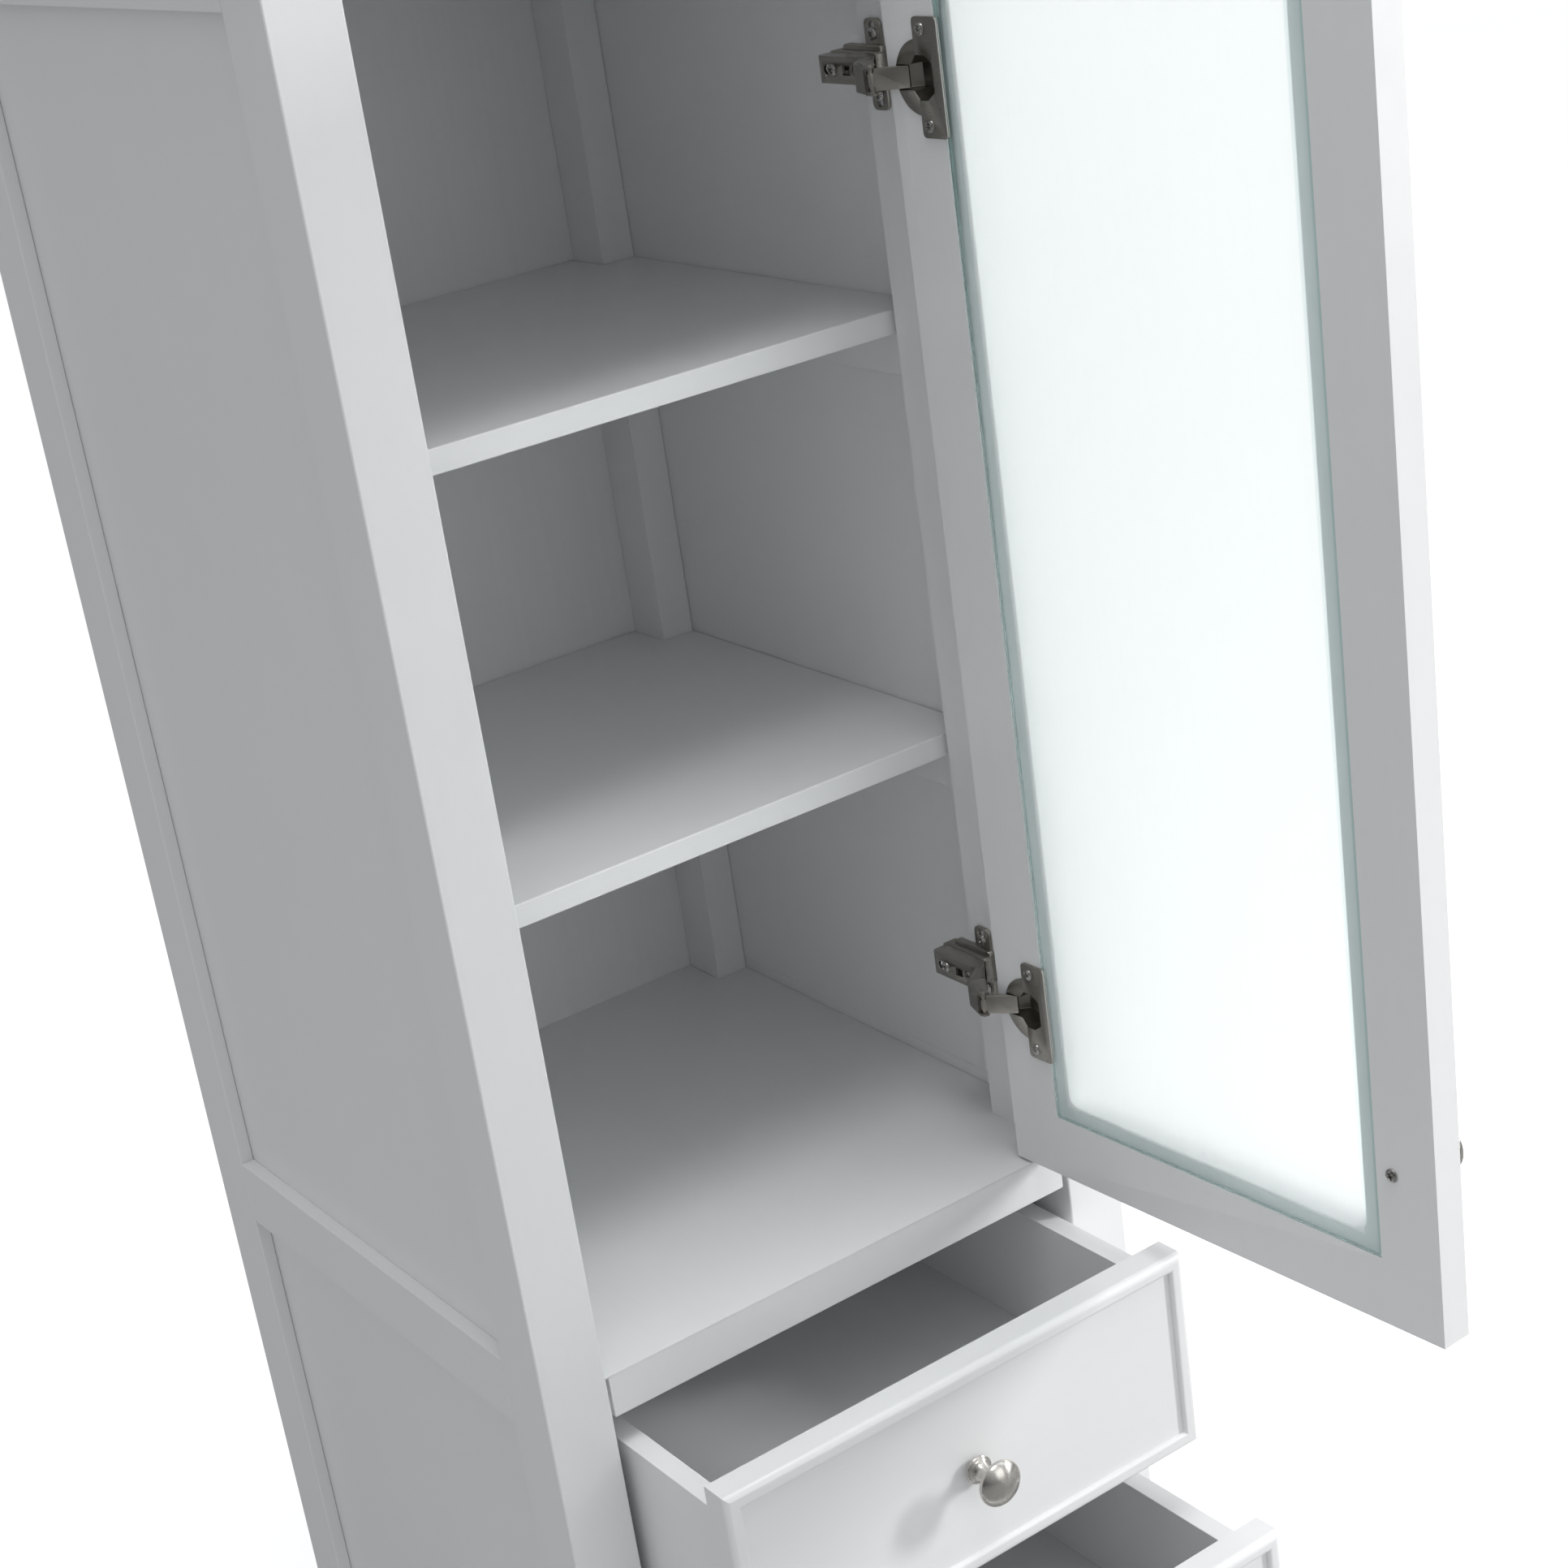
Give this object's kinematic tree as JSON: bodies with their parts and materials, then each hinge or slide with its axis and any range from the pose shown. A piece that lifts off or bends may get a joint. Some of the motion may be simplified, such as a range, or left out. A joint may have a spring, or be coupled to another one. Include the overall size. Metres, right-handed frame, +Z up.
{
  "type": "narrow storage cabinet",
  "caption": "Tall narrow storage cabinet with square posts, panelled sides, shelves behind a frosted glass door on concealed hinges, and drawers below on undermount slides.",
  "frame": {"origin": "on the floor under the centre of the carcass", "axes": "+Z up, the front faces -Y, the door hangs on the +X side"},
  "size_m": [0.428, 0.7255, 1.244],
  "materials": {
    "white_paint": "satin white paint on wood and board",
    "frosted_glass": "acid-etched, clear edge border",
    "satin_nickel": "satin nickel",
    "hinge_nickel": "nickel-plated pressed steel",
    "screw_steel": "nickel-plated cross-head screws",
    "zinc_steel": "zinc-plated rolled steel"
  },
  "bodies": {
    "cabinet": {"back_panel": "white_paint", "bottom_rail": "white_paint", "deck": "white_paint", "drawer_rail": "white_paint", "hinge_arm_lower": "hinge_nickel", "hinge_arm_screws": "screw_steel", "hinge_arm_upper": "hinge_nickel", "hinge_plate_lower": "hinge_nickel", "hinge_plate_screws": "screw_steel", "hinge_plate_upper": "hinge_nickel", "hinge_strip": "white_paint", "post_front_left": "white_paint", "post_front_right": "white_paint", "post_rear_left": "white_paint", "post_rear_right": "white_paint", "runner_battens": "white_paint", "shelf_cleats": "white_paint", "shelf_lower": "white_paint", "shelf_upper": "white_paint", "side_panel_lower_left": "white_paint", "side_panel_lower_right": "white_paint", "side_panel_upper_left": "white_paint", "side_panel_upper_right": "white_paint", "side_rails_bottom": "white_paint", "side_rails_middle": "white_paint", "side_rails_top": "white_paint", "slide_channels": "zinc_steel", "top_board": "white_paint", "top_rail": "white_paint"},
    "door": {"door_frame": "white_paint", "door_glass": "frosted_glass", "hinge_cup_lower": "hinge_nickel", "hinge_cup_upper": "hinge_nickel", "hinge_cup_screws": "screw_steel", "door_knob": "satin_nickel", "door_knob_screw": "screw_steel"},
    "hinge_links": {"hinge_link_lower": "hinge_nickel", "hinge_link_upper": "hinge_nickel"},
    "drawer_1": {"drawer_1_back": "white_paint", "drawer_1_bottom": "white_paint", "drawer_1_front": "white_paint", "drawer_1_knob": "satin_nickel", "drawer_1_knob_screw": "screw_steel", "drawer_1_side_left": "white_paint", "drawer_1_side_right": "white_paint", "drawer_1_slide_member": "zinc_steel"},
    "drawer_2": {"drawer_2_back": "white_paint", "drawer_2_bottom": "white_paint", "drawer_2_front": "white_paint", "drawer_2_knob": "satin_nickel", "drawer_2_knob_screw": "screw_steel", "drawer_2_side_left": "white_paint", "drawer_2_side_right": "white_paint", "drawer_2_slide_member": "zinc_steel"},
    "slide_middle_1": {"slide_middle_1": "zinc_steel"},
    "slide_middle_2": {"slide_middle_2": "zinc_steel"}
  },
  "joints": [
    {"name": "door_swing", "type": "hinge", "parent": "cabinet", "child": "door", "pos_m": [0.1549, -0.2013, 0.45], "axis": [0, 0, 1], "range_deg": [-92.46, 12.54]},
    {"name": "hinge_links_turn", "type": "hinge", "parent": "cabinet", "child": "hinge_links", "pos_m": [0.129, -0.193, 0.5586], "axis": [0, 0, 1], "range_deg": [-8, 54]},
    {"name": "drawer_1_slide", "type": "slide", "parent": "cabinet", "child": "drawer_1", "axis": [0, -1, 0], "range_m": [-0.103, 0.157]},
    {"name": "drawer_2_slide", "type": "slide", "parent": "cabinet", "child": "drawer_2", "axis": [0, -1, 0], "range_m": [-0.167, 0.093]},
    {"name": "slide_middle_1_run", "type": "slide", "parent": "cabinet", "child": "slide_middle_1", "axis": [0, -1, 0], "range_m": [-0.052, 0.079]},
    {"name": "slide_middle_2_run", "type": "slide", "parent": "cabinet", "child": "slide_middle_2", "axis": [0, -1, 0], "range_m": [-0.084, 0.047]}
  ],
  "couplings": [
    {"joint": "hinge_links_turn", "follows": "door_swing", "ratio": -0.57},
    {"joint": "slide_middle_1_run", "follows": "drawer_1_slide", "ratio": 0.5},
    {"joint": "slide_middle_2_run", "follows": "drawer_2_slide", "ratio": 0.5}
  ]
}
